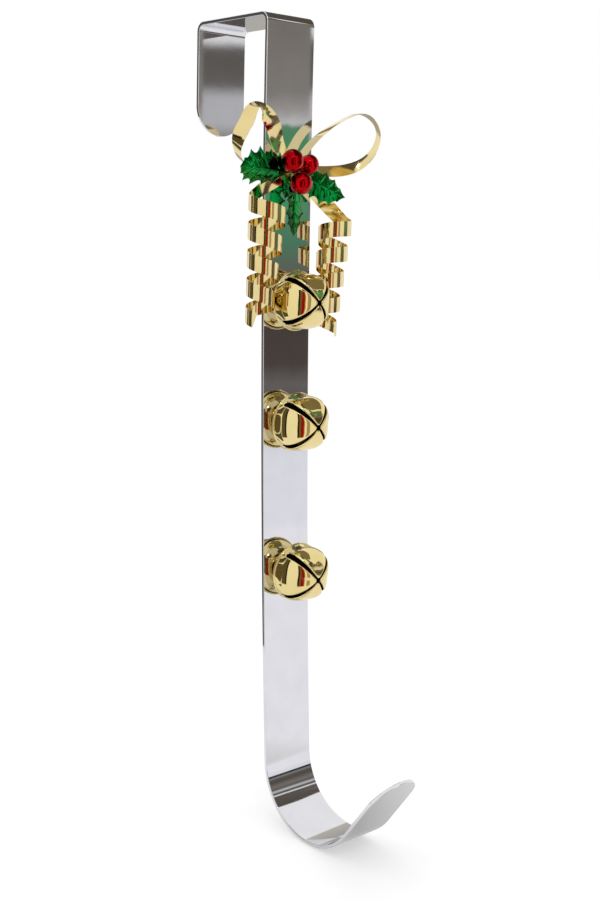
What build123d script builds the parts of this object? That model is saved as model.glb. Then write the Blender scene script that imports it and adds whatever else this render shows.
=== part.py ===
import os
from math import asin, cos, degrees, hypot, pi, radians, sin

from build123d import *

os.makedirs("parts", exist_ok=True)

# Steel strip, bent over the door's top edge
strip_width = 25.4
strip_thickness = 1.5
edge_round = 0.3
end_flat = 0.2
bend_radius = 2.5
door_gap = 44.5
flange_depth = 45.5
leg_length = 316.0
leg_set = 10.1
hook_radius = 27.5
hook_turn = 140.5
hook_straight = 21.4

# Jingle bells: heights along a bell's axis are measured from the strip.
# Each bell nods down a little on its rivet, and its slits are turned a little about its axis.
bells = {
    "upper": {"drop": 114.2, "nod": 2.0, "turn": -2.0},
    "middle": {"drop": 165.2, "nod": 4.5, "turn": 1.0},
    "lower": {"drop": 230.1, "nod": 6.5, "turn": -3.5},
}
bell_radius = 12.4
bell_middle = 10.3
bell_front = 21.0
bell_fullness = 2.0
bell_wall = 0.5
rim_radius = 12.2
rim_height = 6.1
bead_radius = 0.4
bead_offset = 0.1
collar_length = 1.0
collar_clearance = 0.05
seat_radius = 3.5
seat_clearance = 0.01
slit_width_at_rim = 2.2
slit_width_at_pole = 0.7
slit_start = 9.3
pole_hole = 2.2
pellet_diameter = 6.5
pellet_clearance = 0.25

# Rivets that hold the bells to the strip
rivet_diameter = 3.0
rivet_clearance = 0.1
rivet_head_diameter = 6.0
rivet_head_height = 0.8
rivet_end_diameter = 5.0
rivet_end_height = 1.0
rivet_round = 0.6

# Bow of curling ribbon
ribbon_width = 6.35
ribbon_thickness = 0.3
loop_steps = 34
lead_steps = 10
steps_per_turn = 14
bow_drop = 60.0
knot_width = 7.0
knot_depth = 6.0
knot_height = 6.6
knot_round = 1.2
glue_thickness = 0.6
glue_diameter = 4.0

# Holly pick: three foil leaves and three berries on one wire stem that is stuck to the knot
hub_radius = 1.2
hub_length = 1.4
hub_shift = -1.5
hub_drop = 2.0
wire_diameter = 0.8
wire_clearance = 0.05
wire_depth = 2.5
leaf_clearance = 0.05
leaf_thickness = 0.3
stalk_half_width = 0.6

# One half of a leaf's blade: distances from its base and from its midrib
leaf_length = 27.5
leaf_spines = [(3.8, 7.6), (9.0, 8.4), (15.4, 8.9), (20.7, 7.2), (24.5, 3.6)]
leaf_notches = [(1.4, 2.8), (6.2, 5.2), (12.0, 6.2), (17.8, 6.0), (22.3, 4.2), (25.8, 1.5)]

# The leg's back and front faces are arcs about one centre, level with the bend
leg_back = -door_gap / 2
leg_drop = leg_length - bend_radius
leg_back_radius = (leg_drop**2 + leg_set**2) / (2 * leg_set)
leg_front_radius = leg_back_radius - strip_thickness


def leg_plane(drop):
    """A plane on the leg's front face at a drop below the door's top edge, with z away from the strip."""
    turn = asin((drop - bend_radius) / leg_front_radius)
    y = leg_back - leg_back_radius + leg_front_radius * cos(turn)
    return Plane(origin=(0, y, -drop), x_dir=(1, 0, 0), z_dir=(0, -cos(turn), sin(turn)))


def nod_lift(nod):
    """How far a nodding bell stands off from the strip before its rounded back touches it."""
    across = rim_radius - bell_wall - collar_clearance - seat_radius
    along = rim_height - seat_clearance
    reach = seat_radius * sin(nod) + hypot(across * sin(nod), along * cos(nod))
    return reach - rim_height * cos(nod) + seat_clearance


def bell_plane(bell):
    """A bell's own seat plane: z along its axis, x turned with its slits."""
    seat = leg_plane(bell["drop"])
    axis = seat.z_dir.rotate(Axis((0, 0, 0), seat.x_dir), bell["nod"])
    aside = seat.x_dir.rotate(Axis((0, 0, 0), axis), bell["turn"])
    return Plane(origin=seat.offset(nod_lift(radians(bell["nod"]))).origin, x_dir=aside, z_dir=axis)


def axis_plane(seat):
    """A plane through a seat's axis: x across the strip, y along the axis."""
    return Plane(origin=seat.origin, x_dir=seat.x_dir, z_dir=-seat.y_dir)


def save(name, part):
    part.label = name
    export_step(part, f"parts/{name}.step")


def make_strip():
    with BuildPart() as strip:
        with BuildSketch(Plane.YZ):
            with BuildLine():
                flange = Line((door_gap / 2, -flange_depth), (door_gap / 2, -bend_radius))
                back_bend = JernArc(flange @ 1, flange % 1, bend_radius, 90)
                top = Line(back_bend @ 1, (leg_back + bend_radius, 0))
                front_bend = JernArc(top @ 1, top % 1, bend_radius, 90)
                leg_turn = degrees(asin(leg_drop / leg_back_radius))
                leg = JernArc(front_bend @ 1, front_bend % 1, leg_back_radius, -leg_turn)
                hook = JernArc(leg @ 1, leg % 1, hook_radius + strip_thickness, -hook_turn)
                Line(hook @ 1, hook @ 1 + hook % 1 * (hook_straight + strip_width / 2))
                offset(amount=strip_thickness, side=Side.RIGHT)
            make_face()
        extrude(amount=strip_width / 2, both=True)
        flange_end = strip.faces().filter_by(Axis.Z).sort_by(Axis.Z)[0]
        tip_end = strip.faces().sort_by(Axis.Y)[0]
        corners = (flange_end.edges() + tip_end.edges()).filter_by(Axis.X, reverse=True)
        fillet(corners, (strip_width - end_flat) / 2)
        long_edges = strip.edges().filter_by(lambda edge: edge.length > 2 * strip_thickness)
        fillet(long_edges.filter_by(Axis.X, reverse=True), edge_round)
        for bell in bells.values():
            with BuildSketch(leg_plane(bell["drop"])):
                Circle(rivet_diameter / 2 + rivet_clearance)
            extrude(amount=2 * strip_thickness, both=True, mode=Mode.SUBTRACT)
    return strip.part


def bell_outline(inset):
    """The front shell's side from its rim to its pole, drawn in by an inset."""
    reach = bell_radius - inset
    height = bell_front - bell_middle - inset
    start = (rim_radius - inset, rim_height)
    points = [start]
    for angle in (0, 22, 40, 58, 75, 90):
        across = cos(radians(angle)) ** (2 / bell_fullness)
        along = sin(radians(angle)) ** (2 / bell_fullness)
        points.append((reach * across, bell_middle + height * along))
    return points


def make_front_shell(seat):
    with BuildPart() as shell:
        with BuildSketch(axis_plane(seat)):
            with BuildLine():
                outside = Spline(*bell_outline(0), tangents=((0, 1), (-1, 0)))
                inside = Spline(*bell_outline(bell_wall), tangents=((0, 1), (-1, 0)))
                Line(outside @ 0, inside @ 0)
                Line(outside @ 1, inside @ 1)
            make_face()
            with Locations((rim_radius + bead_offset, rim_height)):
                Circle(bead_radius)
        revolve(axis=Axis(seat.origin, seat.z_dir))
        with BuildSketch(seat.offset(slit_start)):
            with PolarLocations(0, 4, start_angle=45):
                Polygon(
                    (0, -slit_width_at_pole / 2),
                    (bell_radius, -slit_width_at_rim / 2),
                    (2 * bell_radius, -slit_width_at_rim / 2),
                    (2 * bell_radius, slit_width_at_rim / 2),
                    (bell_radius, slit_width_at_rim / 2),
                    (0, slit_width_at_pole / 2),
                    align=None,
                )
            Rectangle(pole_hole, pole_hole)
        extrude(amount=bell_front, mode=Mode.SUBTRACT)
        for quarter in range(4):
            outward = seat.x_dir.rotate(Axis((0, 0, 0), seat.z_dir), 45 + 90 * quarter)
            with BuildSketch(Plane(origin=seat.offset(slit_start).origin, x_dir=seat.z_dir, z_dir=outward)):
                Circle(slit_width_at_rim / 2)
            extrude(amount=2 * bell_radius, mode=Mode.SUBTRACT)
    return shell.part


def make_rear_shell(seat):
    outer_radius = rim_radius - bell_wall - collar_clearance
    bore = rivet_diameter / 2 + rivet_clearance
    with BuildPart() as shell:
        with BuildSketch(axis_plane(seat)):
            with BuildLine():
                floor = seat_clearance
                Line((bore, floor), (seat_radius, floor))
                outside = EllipticalCenterArc(
                    (seat_radius, rim_height),
                    outer_radius - seat_radius,
                    rim_height - floor,
                    start_angle=270,
                    arc_size=90,
                )
                Polyline(
                    outside @ 1,
                    (outer_radius, rim_height + collar_length),
                    (outer_radius - bell_wall, rim_height + collar_length),
                    (outer_radius - bell_wall, rim_height),
                )
                EllipticalCenterArc(
                    (seat_radius, rim_height),
                    outer_radius - seat_radius - bell_wall,
                    rim_height - floor - bell_wall,
                    start_angle=270,
                    arc_size=90,
                )
                Polyline((seat_radius, floor + bell_wall), (bore, floor + bell_wall), (bore, floor))
            make_face()
        revolve(axis=Axis(seat.origin, seat.z_dir))
    return shell.part


def make_pellet(seat):
    drop = bell_radius - bell_wall - pellet_clearance - pellet_diameter / 2
    centre = seat.from_local_coords((0, -drop, bell_middle))
    with BuildPart() as pellet:
        with Locations(centre):
            Sphere(pellet_diameter / 2)
    return pellet.part


def make_rivet(seat, nod):
    """A rivet whose end presses on the raised side of a nodding bell's floor."""
    head = -strip_thickness - seat_clearance
    floor_top = nod_lift(nod) + (seat_clearance + bell_wall) * cos(nod)
    end = floor_top + rivet_end_diameter / 2 * sin(nod) + seat_clearance
    axis = Axis(seat.origin, seat.z_dir)
    with BuildPart() as rivet:
        with BuildSketch(seat.offset(head)):
            Circle(rivet_head_diameter / 2)
        extrude(amount=-rivet_head_height)
        with BuildSketch(seat.offset(head)):
            Circle(rivet_diameter / 2)
        extrude(amount=end - head)
        with BuildSketch(seat.offset(end)):
            Circle(rivet_end_diameter / 2)
        extrude(amount=rivet_end_height)
        faces = rivet.faces().sort_by(axis)
        fillet(faces[0].edges() + faces[-1].edges(), rivet_round)
    return rivet.part


def ribbon_sections(centres, faces):
    """A plane across the ribbon at each centre: x along its width and y along the way it faces."""
    planes = []
    for index, (centre, facing) in enumerate(zip(centres, faces)):
        before = centres[max(index - 1, 0)]
        after = centres[min(index + 1, len(centres) - 1)]
        along = (after - before).normalized()
        planes.append(Plane(origin=centre, x_dir=facing.cross(along), z_dir=along))
    return planes


def loop_sections(points, widths):
    """Sections of a bow loop from its centre points and the directions that its width takes there."""
    middle = Spline(*points)
    edge = Spline(*[Vector(*point) + Vector(*width) * ribbon_width / 2 for point, width in zip(points, widths)])
    centres = [middle @ (step / loop_steps) for step in range(loop_steps + 1)]
    faces = []
    for step, centre in enumerate(centres):
        along = middle % (step / loop_steps)
        faces.append(along.cross(edge @ (step / loop_steps) - centre).normalized())
    return ribbon_sections(centres, faces)


def tail_sections(curl):
    """Sections of a tail: a lead that leaves the knot, then a helix about a leaning axis."""
    top = Vector(*curl["axis_top"])
    bottom = Vector(*curl["axis_bottom"])
    hand = curl["hand"]
    turns = curl["turns"]
    count = round(turns * steps_per_turn)
    centres = []
    faces = []
    for step in range(count + 1):
        share = step / count
        angle = radians(curl["start_angle"]) - hand * 2 * pi * turns * share
        radius = curl["radius_top"] + (curl["radius_bottom"] - curl["radius_top"]) * share
        outward = Vector(cos(angle), sin(angle), 0)
        lean = Vector(0, 0, -curl["tilt"] * radius * cos(angle))
        centres.append(top + (bottom - top) * share + outward * radius + lean)
        faces.append(outward)
    start = Vector(*curl["start"])
    slope = (bottom - top).Z / (2 * pi * turns * curl["radius_top"]) - hand * curl["tilt"] * faces[0].Y
    into = Vector(hand * faces[0].Y, -hand * faces[0].X, slope).normalized()
    reach = (centres[0] - start).length * curl["lead_pull"]
    pull = start + Vector(*curl["leaving"]).normalized() * reach
    steer = centres[0] - into * reach
    lead = []
    lead_faces = []
    for step in range(lead_steps):
        t = step / lead_steps
        lead.append(
            start * (1 - t) ** 3 + pull * (3 * t * (1 - t) ** 2) + steer * (3 * t**2 * (1 - t)) + centres[0] * t**3
        )
        lead_faces.append(Vector(0, 1, 0) * (1 - t) + faces[0] * t)
    return ribbon_sections(lead + centres, lead_faces + faces)


# The loops' centre points and width directions run from the knot round to the knot
right_loop_points = [
    (1.0, -27.5, -58.5),
    (9.3, -29.7, -48.0),
    (22.0, -33.2, -39.0),
    (32.4, -34.2, -36.3),
    (40.3, -35.1, -42.0),
    (38.9, -34.2, -51.1),
    (30.9, -31.3, -58.0),
    (17.2, -28.6, -60.5),
    (2.0, -27.5, -60.6),
]
right_loop_widths = [
    (0.19, 0.98, 0.10),
    (0.20, 0.97, 0.11),
    (0.23, 0.97, -0.03),
    (0.19, 0.98, 0.08),
    (0.46, 0.88, 0.15),
    (0.31, 0.93, 0.17),
    (0.12, 0.80, 0.58),
    (0.12, 0.69, 0.71),
    (0.12, 0.81, 0.57),
]
left_loop_points = [
    (-1.5, -27.5, -58.8),
    (-10.7, -29.4, -50.2),
    (-14.5, -31.1, -44.2),
    (-20.3, -33.3, -39.8),
    (-23.3, -33.8, -37.7),
    (-27.1, -34.3, -37.5),
    (-30.9, -35.0, -42.6),
    (-34.5, -34.7, -48.9),
    (-34.4, -33.0, -54.7),
    (-26.1, -29.9, -60.4),
    (-14.0, -28.6, -61.2),
    (-2.0, -27.7, -60.6),
]
left_loop_widths = [
    (0.94, 0.34, -0.05),
    (1.00, 0.04, 0.02),
    (0.68, -0.36, 0.50),
    (0.61, -0.03, 0.79),
    (0.20, 0.65, 0.73),
    (-0.20, 0.95, 0.20),
    (-0.37, 0.87, 0.31),
    (-0.38, 0.92, 0.12),
    (0.19, 0.97, 0.18),
    (0.16, 0.89, 0.42),
    (0.09, 0.92, 0.38),
    (0.02, 0.93, 0.36),
]
right_curl = {
    "hand": 1,
    "start": (2.1, -26.3, -61.6),
    "leaving": (1.0, 0.0, -0.38),
    "lead_pull": 0.15,
    "start_angle": -6.0,
    "axis_top": (20.6, -31.7, -81.6),
    "axis_bottom": (18.4, -28.5, -126.5),
    "radius_top": 6.7,
    "radius_bottom": 5.3,
    "turns": 4.18,
    "tilt": 0.206,
}
left_curl = {
    "hand": -1,
    "start": (-2.1, -26.6, -61.9),
    "leaving": (-1.0, -0.13, -0.37),
    "lead_pull": 0.36,
    "start_angle": 145.0,
    "axis_top": (-18.0, -33.0, -74.7),
    "axis_bottom": (-20.6, -31.8, -121.8),
    "radius_top": 7.7,
    "radius_bottom": 5.4,
    "turns": 4.19,
    "tilt": 0.03,
}

# Each leaf's tip, its height on the hub, the way it faces, how far its halves fold back and its size
leaves = {
    "left": {"tip": (-35.4, -36.0, -61.0), "height": 1.0, "facing": (0, -0.95, -0.33), "fold": 27, "size": 1.0},
    "right": {"tip": (22.1, -35.0, -71.2), "height": 1.5, "facing": (0, -0.99, 0.1), "fold": 18, "size": 0.87},
    "bottom": {"tip": (-4.9, -34.0, -87.8), "height": 0.4, "facing": (-0.66, -0.75, 0), "fold": 62, "size": 0.87},
}
berries = {
    "upper_left": {"centre": (-9.5, -37.6, -57.8), "radius": 4.75},
    "upper_right": {"centre": (1.2, -35.5, -58.6), "radius": 4.2},
    "lower": {"centre": (-4.1, -37.2, -66.3), "radius": 4.75},
}


def make_bow(seat):
    ribbons = [
        loop_sections(right_loop_points, right_loop_widths),
        loop_sections(left_loop_points, left_loop_widths),
        tail_sections(right_curl),
        tail_sections(left_curl),
    ]
    with BuildPart() as bow:
        with BuildSketch(seat.offset(glue_thickness)):
            Rectangle(knot_width, knot_height)
        extrude(amount=knot_depth)
        fillet(bow.edges(), knot_round)
        for planes in ribbons:
            for plane in planes:
                with BuildSketch(plane):
                    Rectangle(ribbon_width, ribbon_thickness)
            loft(ruled=True)
    return bow.part


def make_glue_dot(seat):
    with BuildPart() as dot:
        with BuildSketch(seat):
            Circle(glue_diameter / 2)
        extrude(amount=glue_thickness)
    return dot.part


def wire_plane(seat, berry):
    """A plane at the centre of the hub's round end, with z towards the berry."""
    foot = seat.from_local_coords((hub_shift, -hub_drop, hub_length))
    return Plane(origin=foot, z_dir=Vector(*berry["centre"]) - foot)


def wire_length(seat, berry):
    foot = wire_plane(seat, berry).origin
    return (Vector(*berry["centre"]) - foot).length - berry["radius"] + wire_depth


def make_pick_stem(seat):
    with BuildPart() as stem:
        with BuildSketch(seat):
            with Locations((hub_shift, -hub_drop)):
                Circle(hub_radius)
        extrude(amount=hub_length)
        with Locations(seat.from_local_coords((hub_shift, -hub_drop, hub_length))):
            Sphere(hub_radius)
        for berry in berries.values():
            with BuildSketch(wire_plane(seat, berry)):
                Circle(wire_diameter / 2)
            extrude(amount=wire_length(seat, berry))
    return stem.part


def make_berry(seat, berry):
    bottom = wire_length(seat, berry) + wire_clearance
    with BuildPart() as ball:
        with Locations(berry["centre"]):
            Sphere(berry["radius"])
        with BuildSketch(wire_plane(seat, berry).offset(bottom)):
            Circle(wire_diameter / 2 + wire_clearance)
        extrude(amount=-berry["radius"], mode=Mode.SUBTRACT)
    return ball.part


def make_leaf(seat, leaf):
    """A leaf in two folded halves, from the side of the hub to the leaf's tip."""
    hub = seat.from_local_coords((hub_shift, -hub_drop, leaf["height"]))
    tip = Vector(*leaf["tip"])
    along = (tip - hub).normalized()
    facing = Vector(*leaf["facing"])
    facing = facing - along * facing.dot(along)
    foot = hub + along * (hub_radius + leaf_clearance)
    reach = (tip - foot).length
    base = reach - leaf_length * leaf["size"]
    with BuildPart() as blade:
        for side in (1, -1):
            spines = [(base + x * leaf["size"], side * y * leaf["size"]) for x, y in leaf_spines]
            notches = [(base + x * leaf["size"], side * y * leaf["size"]) for x, y in leaf_notches]
            stalk = (base, side * stalk_half_width)
            folded = facing.rotate(Axis((0, 0, 0), along), -side * leaf["fold"])
            with BuildSketch(Plane(origin=foot, x_dir=along, z_dir=folded)):
                with BuildLine():
                    Polyline((reach, 0), (0, 0), (0, side * stalk_half_width), stalk)
                    for start, middle, end in zip([stalk] + spines, notches, spines + [(reach, 0)]):
                        ThreePointArc(start, middle, end)
                make_face()
            extrude(amount=-leaf_thickness)
    return blade.part


save("hanger_strip", make_strip())
for name, bell in bells.items():
    bell_seat = bell_plane(bell)
    save(f"{name}_bell_front_shell", make_front_shell(bell_seat))
    save(f"{name}_bell_rear_shell", make_rear_shell(bell_seat))
    save(f"{name}_bell_pellet", make_pellet(bell_seat))
    save(f"{name}_bell_rivet", make_rivet(leg_plane(bell["drop"]), radians(bell["nod"])))
bow_seat = leg_plane(bow_drop)
save("glue_dot", make_glue_dot(bow_seat))
save("ribbon_bow", make_bow(bow_seat))
pick_seat = bow_seat.offset(glue_thickness + knot_depth)
save("pick_stem", make_pick_stem(pick_seat))
for name, leaf in leaves.items():
    save(f"{name}_leaf", make_leaf(pick_seat, leaf))
for name, berry in berries.items():
    save(f"{name}_berry", make_berry(pick_seat, berry))
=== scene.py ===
import math

import bmesh
import bpy
import numpy as np
from mathutils import Matrix, Vector


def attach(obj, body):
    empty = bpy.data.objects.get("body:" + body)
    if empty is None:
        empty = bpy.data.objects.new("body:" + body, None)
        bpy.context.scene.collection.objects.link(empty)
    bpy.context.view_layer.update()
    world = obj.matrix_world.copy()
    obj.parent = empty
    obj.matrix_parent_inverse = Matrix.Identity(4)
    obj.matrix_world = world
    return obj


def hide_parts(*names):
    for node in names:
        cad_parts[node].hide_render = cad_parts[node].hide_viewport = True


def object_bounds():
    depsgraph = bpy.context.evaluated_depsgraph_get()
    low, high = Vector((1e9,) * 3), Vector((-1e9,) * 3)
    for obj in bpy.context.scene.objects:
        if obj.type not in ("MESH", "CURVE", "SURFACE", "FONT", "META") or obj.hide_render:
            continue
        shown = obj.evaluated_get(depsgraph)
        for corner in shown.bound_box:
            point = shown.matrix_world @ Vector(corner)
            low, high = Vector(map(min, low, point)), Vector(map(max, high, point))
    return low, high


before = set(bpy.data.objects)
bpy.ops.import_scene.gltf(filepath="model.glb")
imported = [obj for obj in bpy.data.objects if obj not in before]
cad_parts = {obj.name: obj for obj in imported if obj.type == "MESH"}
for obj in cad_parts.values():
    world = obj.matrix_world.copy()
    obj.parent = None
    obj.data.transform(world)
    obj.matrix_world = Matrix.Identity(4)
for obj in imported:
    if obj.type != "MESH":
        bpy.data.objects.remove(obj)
cad_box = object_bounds()
MM = 0.001

# Dimensions in millimetres. They are the solids' own, apart from the bells' petals, rims and slits
# and the thickness of ribbon and foil, which are finer here.
strip_width = 25.4
strip_thickness = 1.5
edge_round = 0.3
end_flat = 0.2
bend_radius = 2.5
door_gap = 44.5
flange_depth = 45.5
leg_length = 316.0
leg_set = 10.1
hook_radius = 27.5
hook_turn = 140.5
hook_straight = 21.4
bells = {
    "upper": {"drop": 114.2, "nod": 2.0, "turn": -2.0},
    "middle": {"drop": 165.2, "nod": 4.5, "turn": 1.0},
    "lower": {"drop": 230.1, "nod": 6.5, "turn": -3.5},
}
petal_radius = 11.62
petal_fullness = 1.9
slit_radius = 12.9
slit_fullness = 2.03
bell_middle = 10.3
bell_front = 21.0
bell_wall = 0.5
rim_radius = 12.3
rim_height = 6.1
bead_radius = 0.4
collar_clearance = 0.05
collar_length = 1.0
rivet_bore = 1.6
seat_radius = 3.5
seat_clearance = 0.01
slit_start = 9.9
slit_at_rim = 1.1
slit_at_pole = 0.35
pole_hole = 1.1
lip_radius = 0.45
lip_fade = 1.5
slit_angle = math.radians(45)
ribbon_width = 6.35
ribbon_thickness = 0.2
ribbon_crown = 0.06
bow_drop = 60.0
knot_depth = 6.0
glue_thickness = 0.6
hub_radius = 1.2
hub_shift = -1.5
hub_drop = 2.0
stalk_half_width = 0.6
foil_thickness = 0.2
leaf_clearance = 0.05
ridge_round = 0.5
leaf_belly = 0.7
vein_reach = 5.0
vein_height = 0.42
vein_half_width = 0.5
midrib_height = 0.35
midrib_half_width = 0.45
relief_share = 0.8
leaf_length = 27.5
leaf_spines = [(3.8, 7.6), (9.0, 8.4), (15.4, 8.9), (20.7, 7.2), (24.5, 3.6)]
leaf_notches = [(1.4, 2.8), (6.2, 5.2), (12.0, 6.2), (17.8, 6.0), (22.3, 4.2), (25.8, 1.5)]

leg_back = -door_gap / 2
leg_drop = leg_length - bend_radius
leg_back_radius = (leg_drop**2 + leg_set**2) / (2 * leg_set)
leg_front_radius = leg_back_radius - strip_thickness


def unit(v):
    """A vector of length 1 in the same direction."""
    v = np.asarray(v, float)
    return v / np.linalg.norm(v)


def leg_seat(drop):
    """Origin, x, y and z directions of a plane on the leg's front face, with z away from the strip."""
    turn = math.asin((drop - bend_radius) / leg_front_radius)
    y = leg_back - leg_back_radius + leg_front_radius * math.cos(turn)
    z = np.array([0, -math.cos(turn), math.sin(turn)])
    x = np.array([1.0, 0, 0])
    return np.array([0, y, -drop]), x, np.cross(z, x), z


def to_world(seat, points):
    """Points given in a seat's own axes, in the frame of the whole object."""
    origin, x, y, z = seat
    points = np.asarray(points, float)
    return origin + points[..., :1] * x + points[..., 1:2] * y + points[..., 2:3] * z


def bell_seat(bell):
    """A bell's own seat: it nods down on its rounded back and its slits are turned about its axis."""
    origin, x, y, z = leg_seat(bell["drop"])
    nod = math.radians(bell["nod"])
    turn = math.radians(bell["turn"])
    across = rim_radius - bell_wall - collar_clearance - seat_radius
    along = rim_height - seat_clearance
    reach = seat_radius * math.sin(nod) + math.hypot(across * math.sin(nod), along * math.cos(nod))
    lift = reach - rim_height * math.cos(nod) + seat_clearance
    axis = z * math.cos(nod) + np.cross(x, z) * math.sin(nod)
    aside = x * math.cos(turn) + np.cross(axis, x) * math.sin(turn)
    return origin + z * lift, aside, np.cross(axis, aside), axis


# Mesh helpers
def grid_faces(rows, cols, close_rows=False, close_cols=False, start=0):
    """Four-sided faces of a grid of points that are stored row by row."""
    faces = []
    for i in range(rows if close_rows else rows - 1):
        for j in range(cols if close_cols else cols - 1):
            a = start + i * cols + j
            b = start + i * cols + (j + 1) % cols
            c = start + ((i + 1) % rows) * cols + (j + 1) % cols
            d = start + ((i + 1) % rows) * cols + j
            faces.append((a, b, c, d))
    return faces


def make_object(name, points, faces, materials, normals=None, merge=0.0, sharp=None):
    """A smooth mesh object from points in millimetres."""
    mesh = bpy.data.meshes.new(name)
    mesh.from_pydata([tuple(p) for p in np.asarray(points, float) * MM], [], faces)
    obj = bpy.data.objects.new(name, mesh)
    bpy.context.scene.collection.objects.link(obj)
    for material in materials:
        mesh.materials.append(material)
    bm = bmesh.new()
    bm.from_mesh(mesh)
    if merge:
        bmesh.ops.remove_doubles(bm, verts=bm.verts, dist=merge * MM)
    bmesh.ops.recalc_face_normals(bm, faces=bm.faces)
    for face in bm.faces:
        face.smooth = True
    bm.to_mesh(mesh)
    bm.free()
    if sharp is not None:
        mesh.set_sharp_from_angle(angle=math.radians(sharp))
    if normals is not None:
        mesh.normals_split_custom_set_from_vertices([tuple(n) for n in normals])
    return obj


def join(name, objects):
    """One object from several."""
    bpy.ops.object.select_all(action="DESELECT")
    for obj in objects:
        obj.select_set(True)
    bpy.context.view_layer.objects.active = objects[0]
    bpy.ops.object.join()
    objects[0].name = name
    return objects[0]


def add_solidify(obj, thickness, offset=-1.0, inner_material=0):
    """A wall of a thickness in millimetres. Its inside and rim can have the next material."""
    mod = obj.modifiers.new("thickness", "SOLIDIFY")
    mod.thickness = thickness * MM
    mod.offset = offset
    mod.use_even_offset = True
    mod.material_offset = inner_material
    mod.material_offset_rim = inner_material


def spline(points, count):
    """Rows on a natural cubic spline through the given rows, spread by the chords of three columns."""
    points = np.asarray(points, float)
    knots = np.concatenate([[0], np.cumsum(np.linalg.norm(np.diff(points[:, :3], axis=0), axis=1))])
    n = len(points)
    h = np.diff(knots)
    a = np.zeros((n, n))
    b = np.zeros((n, points.shape[1]))
    a[0, 0] = a[-1, -1] = 1
    for i in range(1, n - 1):
        a[i, i - 1 : i + 2] = h[i - 1], 2 * (h[i - 1] + h[i]), h[i]
        b[i] = 6 * ((points[i + 1] - points[i]) / h[i] - (points[i] - points[i - 1]) / h[i - 1])
    bend = np.linalg.solve(a, b)
    at = np.linspace(0, knots[-1], count)
    i = np.clip(np.searchsorted(knots, at) - 1, 0, n - 2)
    left = (knots[i + 1] - at)[:, None]
    right = (at - knots[i])[:, None]
    width = h[i][:, None]
    return (
        bend[i] * left**3 / (6 * width)
        + bend[i + 1] * right**3 / (6 * width)
        + (points[i] / width - bend[i] * width / 6) * left
        + (points[i + 1] / width - bend[i + 1] * width / 6) * right
    )


# Materials
def new_material(name):
    material = bpy.data.materials.new(name)
    material.use_nodes = True
    nodes = material.node_tree.nodes
    return material, nodes, material.node_tree.links, nodes["Principled BSDF"]


def noise(nodes, links, scale, detail=2.0):
    coord = nodes.new("ShaderNodeTexCoord")
    texture = nodes.new("ShaderNodeTexNoise")
    texture.inputs["Scale"].default_value = scale
    texture.inputs["Detail"].default_value = detail
    links.new(coord.outputs["Object"], texture.inputs["Vector"])
    return texture


def ramp(nodes, links, source, stops):
    """A colour from stops of (place, colour)."""
    node = nodes.new("ShaderNodeValToRGB")
    elements = node.color_ramp.elements
    while len(elements) < len(stops):
        elements.new(0.5)
    for element, (place, colour) in zip(elements, stops):
        element.position = place
        element.color = (*colour, 1)
    links.new(source, node.inputs["Fac"])
    return node.outputs["Color"]


def spread(nodes, links, source, low, high):
    """A value of 0 to 1 stretched over a range."""
    node = nodes.new("ShaderNodeMapRange")
    node.inputs["To Min"].default_value = low
    node.inputs["To Max"].default_value = high
    links.new(source, node.inputs["Value"])
    return node.outputs["Result"]


def bump(nodes, links, shader, layers):
    """Chained bump nodes from (height source, strength, distance in millimetres)."""
    last = None
    for source, strength, distance in layers:
        node = nodes.new("ShaderNodeBump")
        node.inputs["Strength"].default_value = strength
        node.inputs["Distance"].default_value = distance * MM
        links.new(source, node.inputs["Height"])
        if last:
            links.new(last, node.inputs["Normal"])
        last = node.outputs["Normal"]
    links.new(last, shader.inputs["Normal"])


metal_tint_scale = 90.0


def metal(name, dark, light, rough, scale, bumps):
    """A plated metal whose colour and roughness vary a little, with fine bumps."""
    material, nodes, links, shader = new_material(name)
    shader.inputs["Metallic"].default_value = 1.0
    tint = noise(nodes, links, metal_tint_scale, 3.0)
    colour = ramp(nodes, links, tint.outputs["Fac"], [(0.3, dark), (0.7, light)])
    links.new(colour, shader.inputs["Base Color"])
    grain = noise(nodes, links, scale, 4.0)
    links.new(spread(nodes, links, grain.outputs["Fac"], *rough), shader.inputs["Roughness"])
    layers = []
    for bump_scale, strength, distance in bumps:
        layers.append((noise(nodes, links, bump_scale, 2.0).outputs["Fac"], strength, distance))
    bump(nodes, links, shader, layers)
    return material


chrome = metal(
    "chrome_plate",
    dark=(0.72, 0.72, 0.75),
    light=(0.76, 0.76, 0.785),
    rough=(0.035, 0.07),
    scale=900.0,
    bumps=[(120.0, 0.05, 0.10), (1500.0, 0.05, 0.008)],
)
bell_gold = metal(
    "bell_gold",
    dark=(0.78, 0.63, 0.27),
    light=(0.84, 0.70, 0.34),
    rough=(0.04, 0.08),
    scale=700.0,
    bumps=[(120.0, 0.05, 0.08), (2500.0, 0.03, 0.008)],
)
# Near-black metal for the bells' insides and slit edges: painted shade inside the bell, not the metal's own
# colour.
bell_inside_painted_shade = metal(
    "bell_inside_painted_shade",
    dark=(0.012, 0.009, 0.005),
    light=(0.03, 0.022, 0.01),
    rough=(0.5, 0.65),
    scale=600.0,
    bumps=[(900.0, 0.2, 0.03)],
)
ribbon_gold = metal(
    "ribbon_gold",
    dark=(0.76, 0.61, 0.27),
    light=(0.83, 0.69, 0.35),
    rough=(0.07, 0.12),
    scale=500.0,
    bumps=[(150.0, 0.04, 0.06), (1800.0, 0.04, 0.008)],
)
leaf_green = metal(
    "leaf_green",
    dark=(0.001, 0.10, 0.014),
    light=(0.004, 0.36, 0.065),
    rough=(0.06, 0.13),
    scale=500.0,
    bumps=[(260.0, 0.25, 0.12), (1600.0, 0.04, 0.01)],
)
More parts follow.
